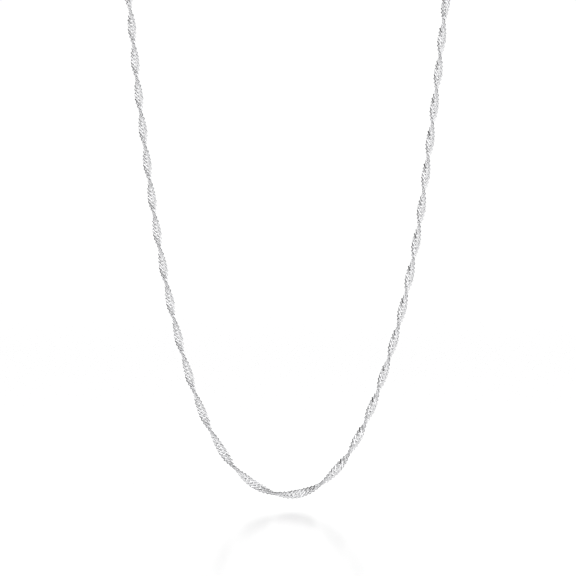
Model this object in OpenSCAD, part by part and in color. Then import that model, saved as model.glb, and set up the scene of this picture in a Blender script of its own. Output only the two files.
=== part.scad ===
// A worn necklace of singapore chain: a flat curb chain of paired links that is twisted
// along its length. It hangs in a closed loop as round a neck, millimetres throughout.
// The origin is the nape, +Z is up and -Y is the wearer's front. The links are too many
// and too small for solids, so the chain is a plain tube of the width that they sweep.

/* [Chain] */
// Width that the twisted links sweep
chain_w = 1.7; // [1.2:0.1:2.2]
// How far the front of the chain hangs below the nape
front_drop = 150; // [145:1:160]
// How far the hanging front lies ahead of the nape
front_reach = 95; // [94:1:100]

/* [Clasp] */
// Diameter of the ring clasp, middle of tube to middle of tube
clasp_d = 5; // [4.9:0.1:5.2]
// Thickness of the ring clasp's tube
clasp_tube_d = 1.2; // [1.1:0.05:1.25]
// Diameter of the eye on the clasp, middle of wire to middle of wire
eye_d = 1.9; // [1.8:0.05:2]
// Thickness of the eye's wire
eye_wire_d = 0.7; // [0.6:0.05:0.75]
// Length that the thumb tab stands out of the clasp
tab_h = 0.9; // [0.5:0.1:1.2]
// Thickness of the thumb tab
tab_d = 0.7; // [0.5:0.1:0.9]

/* [End rings] */
// Diameter of both end rings, middle of wire to middle of wire
ring_d = 2.4; // [2.35:0.05:2.5]
// Thickness of the end rings' wire
ring_wire_d = 0.6; // [0.5:0.05:0.65]

/* [Hidden] */

// Along the nape, from the wearer's right to left: jump ring, eye, clasp, catch ring
jump_ring_x = -3.95;
eye_x = -2.55;
clasp_x = 1.3;
catch_ring_x = 4;
// Angle of the thumb tab round the clasp, up from the side of the catch ring
tab_angle = 60;

// The hidden half of the route, from beside the clasp round the neck to the collarbone
BACK = [
    [5.6, 0, 0], [15, -0.8, -0.2], [26, -4.6, -1], [36, -12.2, -3], [43.4, -24.2, -6],
    [47.6, -39.2, -10], [47.4, -54.8, -15], [43.6, -69, -21.6], [38, -81.6, -30],
    [33.4, -91.2, -40.6]
];
// The hanging front, from the left of the view to the right: sideways, above the lowest point
FRONT = [
    [-31.5, 97], [-30.1, 83], [-28.2, 67.4], [-25.9, 51.4], [-22.9, 36], [-19.4, 23],
    [-15.8, 13.8], [-11.4, 6.5], [-6, 1.7], [0, 0], [5.9, 1.7], [11, 6.5], [15.2, 13.7],
    [19, 23.4], [22.7, 36], [25.9, 51.4], [28.1, 67.4], [30, 83], [31.5, 97]
];
back_end = len(BACK) - 1;
ROUTE = concat(
    [for (p = BACK) [-p.x, p.y, p.z]],
    [for (p = FRONT) [p.x, -front_reach, p.y - front_drop]],
    [for (i = [back_end : -1 : 0]) BACK[i]]
);

sides = 8;
rings_per_point = 2;
last = len(ROUTE) - 1;

// The route's point before its start or past its end carries the end's direction on
function route_point(i) =
    i < 0 ? 2 * ROUTE[0] - ROUTE[1]
    : i > last ? 2 * ROUTE[last] - ROUTE[last - 1]
    : ROUTE[i];

// A smooth curve through b and c, at t from 0 to 1 between them
function smooth(a, b, c, d, t) =
    (2 * b + (c - a) * t + (2 * a - 5 * b + 4 * c - d) * t * t
    + (3 * b - a - 3 * c + d) * t * t * t) / 2;

CENTRES = concat(
    [for (i = [0 : last - 1], k = [0 : rings_per_point - 1])
        smooth(route_point(i - 1), route_point(i), route_point(i + 1), route_point(i + 2),
            k / rings_per_point)],
    [ROUTE[last]]
);
ring_count = len(CENTRES);

function unit(v) = v / norm(v);
function heading(i) = unit(CENTRES[min(i + 1, ring_count - 1)] - CENTRES[max(i - 1, 0)]);
function square_to(v, axis) = unit(v - (v * axis) * axis);

// Each ring's side direction is the one before it, turned as little as the bend allows
SIDEWAYS = [
    for (i = 0, v = square_to([0, 0, 1], heading(0)); i < ring_count;
        i = i + 1, v = square_to(v, heading(min(i, ring_count - 1)))) v
];

function ring_points(i) =
    let (u = SIDEWAYS[i], w = cross(heading(i), u))
    [for (k = [0 : sides - 1])
        CENTRES[i] + chain_w / 2 * (cos(360 * k / sides) * u + sin(360 * k / sides) * w)];

module chain() {
    points = [for (i = [0 : ring_count - 1]) each ring_points(i)];
    walls = [
        for (i = [0 : ring_count - 2], k = [0 : sides - 1])
            let (a = i * sides + k, b = i * sides + (k + 1) % sides)
            each [[a, a + sides, b], [b, a + sides, b + sides]]
    ];
    start = [for (k = [0 : sides - 1]) k];
    end = [for (k = [sides - 1 : -1 : 0]) (ring_count - 1) * sides + k];
    color("silver") polyhedron(points, concat(walls, [start, end]));
}

module wire_ring(d, wire_d) {
    rotate_extrude($fn = 64) translate([d / 2, 0]) circle(d = wire_d, $fn = 32);
}

module jump_ring() {
    color("silver") translate([jump_ring_x, 0, 0]) wire_ring(ring_d, ring_wire_d);
}

module catch_ring() {
    color("silver") translate([catch_ring_x, 0, 0]) wire_ring(ring_d, ring_wire_d);
}

module clasp() {
    color("silver") {
        translate([clasp_x, 0, 0]) {
            rotate([90, 0, 0]) wire_ring(clasp_d, clasp_tube_d);
            rotate([0, 90 - tab_angle, 0]) translate([0, 0, clasp_d / 2])
                cylinder(h = clasp_tube_d / 2 + tab_h, d = tab_d, $fn = 32);
        }
        translate([eye_x, 0, 0]) rotate([90, 0, 0]) wire_ring(eye_d, eye_wire_d);
    }
}

chain();
jump_ring();
clasp();
catch_ring();
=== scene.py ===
import math

import bmesh
import bpy
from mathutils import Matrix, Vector


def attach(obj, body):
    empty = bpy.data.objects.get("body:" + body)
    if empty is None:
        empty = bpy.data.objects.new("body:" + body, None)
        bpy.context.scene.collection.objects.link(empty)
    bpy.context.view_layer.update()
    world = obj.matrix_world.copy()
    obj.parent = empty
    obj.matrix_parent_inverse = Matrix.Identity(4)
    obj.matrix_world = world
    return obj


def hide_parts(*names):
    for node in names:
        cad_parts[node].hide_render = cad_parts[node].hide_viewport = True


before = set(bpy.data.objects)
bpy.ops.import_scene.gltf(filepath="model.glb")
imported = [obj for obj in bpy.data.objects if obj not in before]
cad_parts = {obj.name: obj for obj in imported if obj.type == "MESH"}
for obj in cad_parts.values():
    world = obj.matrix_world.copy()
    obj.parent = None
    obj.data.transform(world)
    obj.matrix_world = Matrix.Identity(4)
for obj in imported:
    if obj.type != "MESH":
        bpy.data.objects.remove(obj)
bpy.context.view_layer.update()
MM = 0.001

# The camera looks level along +Y at the hanging front, from a long way off. One pixel of
# the 576 covers 0.2 mm at the chain, and nothing nearer than NEAREST_SEEN is drawn.
# All sizes are in millimetres where no other unit is named.
PIXELS = 576
PIXEL_MM = 0.2
SENSOR = 36
LENS_DISTANCE = 900
PLANE_Y = -95
VIEW_X = 0.1
VIEW_Z = -108.6
NEAREST_SEEN = 10

# The chain's route in millimetres, the same points as in the CAD source.
# BACK is the hidden half, from beside the clasp round the neck to the collarbone.
BACK = [
    (5.6, 0, 0), (15, -0.8, -0.2), (26, -4.6, -1), (36, -12.2, -3), (43.4, -24.2, -6),
    (47.6, -39.2, -10), (47.4, -54.8, -15), (43.6, -69, -21.6), (38, -81.6, -30),
    (33.4, -91.2, -40.6),
]
# FRONT hangs in view, given sideways and above the lowest point
FRONT = [
    (-31.5, 97), (-30.1, 83), (-28.2, 67.4), (-25.9, 51.4), (-22.9, 36), (-19.4, 23),
    (-15.8, 13.8), (-11.4, 6.5), (-6, 1.7), (0, 0), (5.9, 1.7), (11, 6.5), (15.2, 13.7),
    (19, 23.4), (22.7, 36), (25.9, 51.4), (28.1, 67.4), (30, 83), (31.5, 97),
]
FRONT_DROP = 150
STEPS_PER_POINT = 40

# Where the end links' outer bars lie, inside the rings on both sides of the clasp
LEFT_END_X = -4.36
RIGHT_END_X = 4.54

# The twist: half a turn takes 6.84 mm, and up to 2.94 mm more near the lowest bend. It is
# slackest 6.64 mm past the lowest point and tightens again over a long reach to the left
# and a short one to the right. At the lowest point the chain has gone 0.28 of a half turn
# on from where it was edge-on to the camera.
HALF_TURN = 6.84
SLACK_HALF_TURN = 2.94
SLACK_MIDDLE = 6.64
SLACK_REACH_LEFT = 38.7
SLACK_REACH_RIGHT = 6
TURNS_AT_LOWEST = 0.28
# Past this distance from the lowest point the twist is eased to meet the rings upright
SEEN_REACH = 115

# Links go in pairs: the step from pair to pair, and from one link of a pair to the other
PAIR_STEP = 1.66
SIDE_STEP = 0.83
# One link, over its sides, and its wire, which the cutter has flattened
LINK_W = 1.72
WIRE_WIDE = 0.36
WIRE_THICK = 0.18
WIRE_SIDES = 6
# Two of its eight corners, from its middle: along, across and out of its plane
END_CORNER = (1.056, 0.101, 0.3)
SIDE_CORNER = (0.3, (LINK_W - WIRE_WIDE) / 2, 0.25)
# A mitre widens the wire by one over a cosine, which counts as no less than this
MITRE_LEAST = 0.6

# How far each link may turn from its place, in degrees, and the seed of the turns
LOOSENESS = 1.5
TURN_SEED = 7

# The polish clouds over about a millimetre. Real buffing marks are ten times finer than
# these, which are drawn coarse enough to show.
CLOUD_SIZE = 1.1
MARK_SIZE = 0.17
MARK_DEPTH = 0.02
# Most of a noise texture's values, and the shares of a metal's roughness they stand for
CLOUD_VALUES = (0.3, 0.7)
CLOUD_ROUGH = (0.7, 1.4)

# The floor lies just under the chain's lowest bend and is 12 metres from middle to edge, so
# that it reaches far past every view
FLOOR_Z = -152.4
FLOOR_R = 12
FLOOR_SIDES = 96
FLOOR_IOR = 1.49
FLOOR_ROUGH = 0.13

# How bright the room is in front of the chain, beside it and behind it, what share of that
# is left straight above and below, and how bright the matt floor and the camera find it
FRONT_LEVEL = 1.5
SIDE_LEVEL = 0.07
BACK_LEVEL = 1.43
TOP_LEVEL = 0.27
MATT_LEVEL = 0.93
CAMERA_LEVEL = 1.02
# Where these give way to each other, on a direction of length one: along Y for the front and
# the back, and up or down for the top and for the band that is bright all round
FRONT_FADE = (-1.0, -0.1)
BACK_FADE = (0.1, 0.6)
TOP_FADE = (0.2, 0.9)
BAND_FADE = (0.08, 0.2)

# Soft boxes: name, place, what each is turned to, width and height in metres, and power.
# One at the right, a weaker one at the left and a wide one overhead give the clasp's tube
# soft bright bands and leave its sides grey.
SOFT_BOXES = (
    ("key", (0.9, -0.7, 0.9), (0, -0.09, -0.1), (0.5, 0.5), 0.6),
    ("fill", (-1.0, -0.5, 0.4), (0, -0.09, -0.1), (0.5, 0.8), 0.4),
    ("top", (0, 0.1, 1.2), (0, -0.05, -0.15), (1.2, 1.2), 1.0),
)

# How far a pixel gathers light, in pixels, for the photo's slight softness
PIXEL_FILTER = 1.3


def make_camera():
    data = bpy.data.cameras.new("camera")
    data.sensor_width = SENSOR
    data.lens = SENSOR * LENS_DISTANCE / (PIXELS * PIXEL_MM)
    data.clip_start = NEAREST_SEEN * MM
    camera = bpy.data.objects.new("camera", data)
    camera.location = Vector((VIEW_X, PLANE_Y - LENS_DISTANCE, VIEW_Z)) * MM
    camera.rotation_euler = (math.pi / 2, 0, 0)
    bpy.context.scene.collection.objects.link(camera)
    bpy.context.scene.camera = camera


def place_in_scene(name, data):
    thing = bpy.data.objects.new(name, data)
    bpy.context.scene.collection.objects.link(thing)
    return thing


def add(tree, kind, settings=None, inputs=None):
    node = tree.nodes.new(kind)
    for name, value in (settings or {}).items():
        setattr(node, name, value)
    for name, value in (inputs or {}).items():
        socket = node.inputs[name]
        if isinstance(value, bpy.types.NodeSocket):
            tree.links.new(value, socket)
        else:
            socket.default_value = value
    return node


def linear(hex_colour):
    values = []
    for i in (1, 3, 5):
        c = int(hex_colour[i:i + 2], 16) / 255
        values.append(c / 12.92 if c <= 0.04045 else ((c + 0.055) / 1.055) ** 2.4)
    return (*values, 1)


def route_points():
    left = [Vector((-x, y, z)) for x, y, z in BACK]
    front = [Vector((x, PLANE_Y, up - FRONT_DROP)) for x, up in FRONT]
    right = [Vector(p) for p in reversed(BACK)]
    return left + front + right


def smooth_route(points):
    ends = [2 * points[0] - points[1]] + points + [2 * points[-1] - points[-2]]
    curve = []
    for i in range(1, len(ends) - 2):
        a, b, c, d = ends[i - 1:i + 3]
        for k in range(STEPS_PER_POINT):
            t = k / STEPS_PER_POINT
            curve.append((2 * b + (c - a) * t + (2 * a - 5 * b + 4 * c - d) * t * t
                          + (3 * b - a - 3 * c + d) * t ** 3) / 2)
    curve.append(points[-1].copy())
    return curve


def half_turn(t):
    reach = SLACK_REACH_LEFT if t < SLACK_MIDDLE else SLACK_REACH_RIGHT
    return HALF_TURN + SLACK_HALF_TURN * math.exp(-((t - SLACK_MIDDLE) / reach) ** 2)


def square_to(v, axis):
    return (v - v.dot(axis) * axis).normalized()


# A direction carried both ways from the lowest point, with no turn of its own
def carried_along(heading, low):
    carried = [None] * len(heading)
    carried[low] = square_to(Vector((0, 1, 0)), heading[low])
    for i in range(low + 1, len(heading)):
        carried[i] = square_to(carried[i - 1], heading[i])
    for i in range(low - 1, -1, -1):
        carried[i] = square_to(carried[i + 1], heading[i])
    return carried


# How far the chain has turned at each point, in radians
def twist_along(along, low):
    turns = [0] * len(along)
    turns[low] = TURNS_AT_LOWEST
    for i in range(low + 1, len(along)):
        middle = (along[i] + along[i - 1]) / 2 - along[low]
        turns[i] = turns[i - 1] + (along[i] - along[i - 1]) / half_turn(middle)
    for i in range(low - 1, -1, -1):
        middle = (along[i] + along[i + 1]) / 2 - along[low]
        turns[i] = turns[i + 1] - (along[i + 1] - along[i]) / half_turn(middle)
    return [-math.pi * (n - 0.5) for n in turns]


# The least extra turn that brings an end of the chain upright
def turn_to_upright(side, up, roll):
    wanted = math.atan2(up.z, side.z)
    return (wanted - roll + math.pi / 2) % math.pi - math.pi / 2


# The chain's middle line, which carries the direction across the flat of the chain
def make_route():
    left_end = Vector((LEFT_END_X, 0, 0))
    right_end = Vector((RIGHT_END_X, 0, 0))
    line = [left_end] + smooth_route(route_points()) + [right_end]
    count = len(line)
    along = [0]
    for a, b in zip(line, line[1:]):
        along.append(along[-1] + (b - a).length)
    heading = [(line[min(i + 1, count - 1)] - line[max(i - 1, 0)]).normalized()
               for i in range(count)]
    low = min(range(count), key=lambda i: line[i].z)
    sides = [c.cross(h) for c, h in zip(carried_along(heading, low), heading)]
    ups = [h.cross(s) for h, s in zip(heading, sides)]
    roll = twist_along(along, low)
    first = turn_to_upright(sides[0], ups[0], roll[0])
    last = turn_to_upright(sides[-1], ups[-1], roll[-1])
    mesh = bpy.data.meshes.new("route")
    mesh.from_pydata([p * MM for p in line], [(i, i + 1) for i in range(count - 1)], [])
    across = mesh.attributes.new("across", "FLOAT_VECTOR", "POINT")
    for i in range(count):
        t = along[i] - along[low]
        to_first = max(0, (-SEEN_REACH - t) / (along[low] - SEEN_REACH))
        to_last = max(0, (t - SEEN_REACH) / (along[-1] - along[low] - SEEN_REACH))
        angle = roll[i] + first * to_first + last * to_last
        across.data[i].vector = sides[i] * math.cos(angle) + ups[i] * math.sin(angle)
    return place_in_scene("route", mesh), along[-1]


# The middle line of a link's wire, bent so that the links pass through each other
def link_line():
    end = Vector((END_CORNER[0], END_CORNER[1], -END_CORNER[2]))
    side = Vector((SIDE_CORNER[0], SIDE_CORNER[1], -SIDE_CORNER[2]))
    half = [end, side] + [Vector((-v.x, v.y, -v.z)) for v in (side, end)]
    return half + [Vector((-v.x, -v.y, v.z)) for v in half]


# One link: a six-sided wire round its line, mitred at the corners and left with flat faces
def make_link():
    mesh = bpy.data.meshes.new("link")
    work = bmesh.new()
    line = link_line()
    count = len(line)
    rings = []
    for k in range(count):
        before = (line[k] - line[k - 1]).normalized()
        after = (line[(k + 1) % count] - line[k]).normalized()
        ahead = (before + after).normalized()
        bend = (after - before).normalized()
        widen = 1 / max(MITRE_LEAST, before.dot(ahead)) - 1
        out = square_to(Vector((line[k].x, line[k].y, 0)), ahead)
        side = ahead.cross(out)
        ring = []
        for j in range(WIRE_SIDES):
            angle = 2 * math.pi * j / WIRE_SIDES
            offset = WIRE_WIDE / 2 * out * math.cos(angle)
            offset += WIRE_THICK / 2 * side * math.sin(angle)
            offset += bend * bend.dot(offset) * widen
            ring.append(work.verts.new((line[k] + offset) * MM))
        rings.append(ring)
    for k in range(count):
        here = rings[k]
        there = rings[(k + 1) % count]
        for j in range(WIRE_SIDES):
            n = (j + 1) % WIRE_SIDES
            work.faces.new((here[j], there[j], there[n], here[n]))
    bmesh.ops.recalc_face_normals(work, faces=work.faces)
    work.to_mesh(mesh)
    work.free()
    return place_in_scene("link", mesh)


# Lays links on a straight line at their steps, then bends the line along the route
def make_chain_tree():
    tree = bpy.data.node_groups.new("paired_links_on_route", "GeometryNodeTree")
    face = tree.interface
    face.new_socket("Geometry", in_out="INPUT", socket_type="NodeSocketGeometry")
    for name, kind in (("Link", "Object"), ("Route", "Object"), ("Links", "Int"),
                       ("Pair step", "Float"), ("Side step", "Float"), ("First link", "Float"),
                       ("Looseness", "Float"), ("Metal", "Material")):
        face.new_socket(name, in_out="INPUT", socket_type="NodeSocket" + kind)
    face.new_socket("Geometry", in_out="OUTPUT", socket_type="NodeSocketGeometry")
    given = add(tree, "NodeGroupInput").outputs
    index = add(tree, "GeometryNodeInputIndex").outputs[0]

    # Even links are the first of their pair and odd ones the second
    second = add(tree, "ShaderNodeMath", {"operation": "MODULO"}, {0: index, 1: 2.0})
    halved = add(tree, "ShaderNodeMath", {"operation": "DIVIDE"}, {0: index, 1: 2.0})
    pair = add(tree, "ShaderNodeMath", {"operation": "FLOOR"}, {0: halved.outputs[0]})
    pair_x = add(tree, "ShaderNodeMath", {"operation": "MULTIPLY_ADD"},
                 {0: pair.outputs[0], 1: given["Pair step"], 2: given["First link"]})
    link_x = add(tree, "ShaderNodeMath", {"operation": "MULTIPLY_ADD"},
                 {0: second.outputs[0], 1: given["Side step"], 2: pair_x.outputs[0]})
    spot = add(tree, "ShaderNodeCombineXYZ", None, {"X": link_x.outputs[0]})
    spots = add(tree, "GeometryNodePoints", None,
                {"Count": given["Links"], "Position": spot.outputs[0]})

    # The second link from each end is left out, because it would cut the ring there
    from_first = add(tree, "ShaderNodeMath", {"operation": "ADD"}, {0: index, 1: 1.0})
    from_last = add(tree, "ShaderNodeMath", {"operation": "SUBTRACT"},
                    {0: given["Links"], 1: index})
    from_end = add(tree, "ShaderNodeMath", {"operation": "MINIMUM"},
                   {0: from_first.outputs[0], 1: from_last.outputs[0]})
    kept = add(tree, "FunctionNodeCompare", {"data_type": "FLOAT", "operation": "NOT_EQUAL"},
               {0: from_end.outputs[0], 1: 2.0})

    # The second of a pair faces the other way, and each link hangs a little loose
    least = add(tree, "ShaderNodeMath", {"operation": "MULTIPLY"},
                {0: given["Looseness"], 1: -1.0})
    loose = add(tree, "FunctionNodeRandomValue", {"data_type": "FLOAT_VECTOR"},
                {"Min": least.outputs[0], "Max": given["Looseness"], "Seed": TURN_SEED})
    half_round = add(tree, "ShaderNodeMath", {"operation": "MULTIPLY"},
                     {0: second.outputs[0], 1: math.pi})
    facing = add(tree, "ShaderNodeCombineXYZ", None, {"Z": half_round.outputs[0]})
    lean = add(tree, "ShaderNodeVectorMath", {"operation": "ADD"},
               {0: facing.outputs[0], 1: loose.outputs["Value"]})
    turn = add(tree, "FunctionNodeEulerToRotation", None, {"Euler": lean.outputs[0]})
    link = add(tree, "GeometryNodeObjectInfo", None, {"Object": given["Link"]})
    laid = add(tree, "GeometryNodeInstanceOnPoints", None,
               {"Points": spots.outputs[0], "Selection": kept.outputs[0],
                "Instance": link.outputs["Geometry"], "Rotation": turn.outputs[0]})
    straight = add(tree, "GeometryNodeRealizeInstances", None, {"Geometry": laid.outputs[0]})

    # Each point goes to the route as far along as it lay, as far across and as far out
    route = add(tree, "GeometryNodeObjectInfo", None, {"Object": given["Route"]})
    curve = add(tree, "GeometryNodeMeshToCurve", None, {"Mesh": route.outputs["Geometry"]})
    stored = add(tree, "GeometryNodeInputNamedAttribute", {"data_type": "FLOAT_VECTOR"},
                 {"Name": "across"})
    position = add(tree, "GeometryNodeInputPosition")
    point = add(tree, "ShaderNodeSeparateXYZ", None, {"Vector": position.outputs[0]})
    sample = add(tree, "GeometryNodeSampleCurve",
                 {"mode": "LENGTH", "data_type": "FLOAT_VECTOR", "use_all_curves": False},
                 {"Curves": curve.outputs[0], "Value": stored.outputs["Attribute"],
                  "Length": point.outputs["X"]})
    ahead = sample.outputs["Tangent"]
    slip = add(tree, "ShaderNodeVectorMath", {"operation": "DOT_PRODUCT"},
               {0: sample.outputs["Value"], 1: ahead})
    slipped = add(tree, "ShaderNodeVectorMath", {"operation": "SCALE"},
                  {"Vector": ahead, "Scale": slip.outputs["Value"]})
    squared = add(tree, "ShaderNodeVectorMath", {"operation": "SUBTRACT"},
                  {0: sample.outputs["Value"], 1: slipped.outputs[0]})
    across = add(tree, "ShaderNodeVectorMath", {"operation": "NORMALIZE"},
                 {0: squared.outputs[0]})
    outward = add(tree, "ShaderNodeVectorMath", {"operation": "CROSS_PRODUCT"},
                  {0: ahead, 1: across.outputs[0]})
    moved_across = add(tree, "ShaderNodeVectorMath", {"operation": "SCALE"},
                       {"Vector": across.outputs[0], "Scale": point.outputs["Y"]})
    moved_out = add(tree, "ShaderNodeVectorMath", {"operation": "SCALE"},
                    {"Vector": outward.outputs[0], "Scale": point.outputs["Z"]})
    moved = add(tree, "ShaderNodeVectorMath", {"operation": "ADD"},
                {0: moved_across.outputs[0], 1: moved_out.outputs[0]})
    place = add(tree, "ShaderNodeVectorMath", {"operation": "ADD"},
                {0: sample.outputs["Position"], 1: moved.outputs[0]})
    bent = add(tree, "GeometryNodeSetPosition", None,
               {"Geometry": straight.outputs[0], "Position": place.outputs[0]})
    realized = add(tree, "GeometryNodeRealizeInstances", None, {"Geometry": bent.outputs[0]})
    metal = add(tree, "GeometryNodeSetMaterial", None,
                {"Geometry": realized.outputs[0], "Material": given["Metal"]})
    add(tree, "NodeGroupOutput", None, {"Geometry": metal.outputs[0]})
    return tree


# The whole chain as one mesh, from the clasp's jump ring round to its catch ring
def make_chain(metal):
    route, length = make_route()
    link = make_link()
    half_link = END_CORNER[0]
    pairs = round((length - 2 * half_link) / PAIR_STEP)
    host = place_in_scene("chain_host", bpy.data.meshes.new("chain_host"))
    modifier = host.modifiers.new("links", "NODES")
    modifier.node_group = make_chain_tree()
    values = {
        "Link": link, "Route": route, "Links": 2 * pairs + 1,
        "Pair step": (length - 2 * half_link) / pairs * MM, "Side step": SIDE_STEP * MM,
        "First link": half_link * MM, "Looseness": math.radians(LOOSENESS), "Metal": metal,
    }
    for item in modifier.node_group.interface.items_tree:
        if item.in_out == "INPUT" and item.name in values:
            modifier[item.identifier] = values[item.name]
    bpy.context.view_layer.update()
    evaluated = host.evaluated_get(bpy.context.evaluated_depsgraph_get())
    mesh = bpy.data.meshes.new_from_object(evaluated)
    mesh.name = "singapore_chain"
    host.modifiers.remove(modifier)
    for spare in (host, route, link):
        bpy.data.objects.remove(spare)
    return place_in_scene("singapore_chain", mesh)


# Silver with a polish that clouds a little and with fine marks left by the tool
def make_silver(name, colour, roughness, marks):
    material = bpy.data.materials.new(name)
    material.use_nodes = True
    tree = material.node_tree
    tree.nodes.clear()
    place = add(tree, "ShaderNodeTexCoord")
    cloud = add(tree, "ShaderNodeTexNoise", None,
                {"Vector": place.outputs["Object"], "Scale": 1 / (CLOUD_SIZE * MM), "Detail": 3.0})
    rough = add(tree, "ShaderNodeMapRange", None,
                {"Value": cloud.outputs["Fac"],
                 "From Min": CLOUD_VALUES[0], "From Max": CLOUD_VALUES[1],
                 "To Min": roughness * CLOUD_ROUGH[0], "To Max": roughness * CLOUD_ROUGH[1]})
    fine = add(tree, "ShaderNodeTexNoise", None,
               {"Vector": place.outputs["Object"], "Scale": 1 / (MARK_SIZE * MM), "Detail": 2.0})
    bump = add(tree, "ShaderNodeBump", None,
               {"Height": fine.outputs["Fac"], "Strength": marks, "Distance": MARK_DEPTH * MM})
    shader = add(tree, "ShaderNodeBsdfPrincipled", None,
                 {"Base Color": linear(colour), "Metallic": 1.0,
                  "Roughness": rough.outputs["Result"], "Normal": bump.outputs["Normal"]})
    add(tree, "ShaderNodeOutputMaterial", None, {"Surface": shader.outputs["BSDF"]})
    return material


# Cast acrylic sheet: white all through under a smooth skin, so it is white with a soft
# mirror in it, and the chain's lowest bend shows in it as a faint grey arch
def make_acrylic():
    material = bpy.data.materials.new("glossy_white_cast_acrylic")
    material.use_nodes = True
    tree = material.node_tree
    tree.nodes.clear()
    white = add(tree, "ShaderNodeBsdfDiffuse", None, {"Color": linear("#F6F6F6")})
    skin = add(tree, "ShaderNodeBsdfAnisotropic", None, {"Roughness": FLOOR_ROUGH})
    gloss = add(tree, "ShaderNodeFresnel", None, {"IOR": FLOOR_IOR})
    both = add(tree, "ShaderNodeMixShader", None,
               {0: gloss.outputs[0], 1: white.outputs[0], 2: skin.outputs[0]})
    add(tree, "ShaderNodeOutputMaterial", None, {"Surface": both.outputs[0]})
    return material


def make_floor():
    mesh = bpy.data.meshes.new("floor")
    work = bmesh.new()
    bmesh.ops.create_circle(work, cap_ends=True, segments=FLOOR_SIDES, radius=FLOOR_R)
    bmesh.ops.translate(work, verts=work.verts, vec=(0, 0, FLOOR_Z * MM))
    work.to_mesh(mesh)
    work.free()
    floor = place_in_scene("floor", mesh)
    floor.data.materials.append(make_acrylic())


# A white room: bright in front of the chain and behind it, dimmer at its sides and above.
# Low down it is bright all round, so that the glossy floor is white from every side. The
# camera and the matt floor see it all one white.
def make_room():
    world = bpy.data.worlds.new("studio")
    bpy.context.scene.world = world
    world.use_nodes = True
    tree = world.node_tree
    tree.nodes.clear()
    way = add(tree, "ShaderNodeTexCoord")
    parts = add(tree, "ShaderNodeSeparateXYZ", None, {"Vector": way.outputs["Generated"]})
    front = add(tree, "ShaderNodeMapRange", {"interpolation_type": "SMOOTHSTEP"},
                {"Value": parts.outputs["Y"],
                 "From Min": FRONT_FADE[0], "From Max": FRONT_FADE[1],
                 "To Min": FRONT_LEVEL, "To Max": SIDE_LEVEL})
    back = add(tree, "ShaderNodeMapRange", {"interpolation_type": "SMOOTHSTEP"},
               {"Value": parts.outputs["Y"],
                "From Min": BACK_FADE[0], "From Max": BACK_FADE[1],
                "To Min": front.outputs["Result"], "To Max": BACK_LEVEL})
    height = add(tree, "ShaderNodeMath", {"operation": "ABSOLUTE"}, {0: parts.outputs["Z"]})
    dim = add(tree, "ShaderNodeMapRange", {"interpolation_type": "SMOOTHSTEP"},
              {"Value": height.outputs[0],
               "From Min": TOP_FADE[0], "From Max": TOP_FADE[1],
               "To Min": 1.0, "To Max": TOP_LEVEL})
    walls = add(tree, "ShaderNodeMath", {"operation": "MULTIPLY"},
                {0: back.outputs["Result"], 1: dim.outputs["Result"]})
    seen_in_metal = add(tree, "ShaderNodeMapRange", {"interpolation_type": "SMOOTHSTEP"},
                        {"Value": height.outputs[0],
                         "From Min": BAND_FADE[0], "From Max": BAND_FADE[1],
                         "To Min": BACK_LEVEL, "To Max": walls.outputs[0]})
    path = add(tree, "ShaderNodeLightPath")
    seen_by_matt = add(tree, "ShaderNodeMix", {"data_type": "FLOAT"},
                       {"Factor": path.outputs["Is Diffuse Ray"],
                        "A": seen_in_metal.outputs[0], "B": MATT_LEVEL})
    seen = add(tree, "ShaderNodeMix", {"data_type": "FLOAT"},
               {"Factor": path.outputs["Is Camera Ray"],
                "A": seen_by_matt.outputs["Result"], "B": CAMERA_LEVEL})
    light = add(tree, "ShaderNodeBackground", None,
                {"Color": (1, 1, 1, 1), "Strength": seen.outputs["Result"]})
    add(tree, "ShaderNodeOutputWorld", None, {"Surface": light.outputs["Background"]})


def make_soft_box(name, place, target, size, power):
    data = bpy.data.lights.new(name, "AREA")
    data.shape = "RECTANGLE"
    data.size, data.size_y = size
    data.energy = power
    lamp = place_in_scene(name, data)
    lamp.location = place
    lamp.rotation_euler = (Vector(target) - Vector(place)).to_track_quat("-Z", "Y").to_euler()


make_camera()

# Diamond-cut sterling silver, the chain: the cutter leaves each link's wire with small flat
# mirrors, so the chain glitters, white where a flat meets the light and grey beside it
chain_silver = make_silver("diamond_cut_sterling_silver", "#EDEDEE", roughness=0.14, marks=0.15)
# Polished sterling silver, the clasp and its rings: drawn and bent wire buffed on a wheel,
# so the light runs along it in one smooth band
fitting_silver = make_silver("polished_sterling_silver", "#E8E7E4", roughness=0.1, marks=0.1)

chain = make_chain(chain_silver)
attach(chain, "root")
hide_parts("chain")
for name in ("jump_ring", "clasp", "catch_ring"):
    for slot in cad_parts[name].material_slots:
        slot.material = fitting_silver

make_floor()
make_room()
for box in SOFT_BOXES:
    make_soft_box(*box)

# Plain colours and the photo's slight softness. Grain is cleared from the floor, and the
# small links are left sharp, because their own shape is taken as free of grain.
bpy.context.scene.view_settings.view_transform = "Standard"
bpy.context.scene.cycles.use_denoising = True
bpy.context.scene.cycles.denoising_prefilter = "NONE"
bpy.context.scene.cycles.filter_width = PIXEL_FILTER
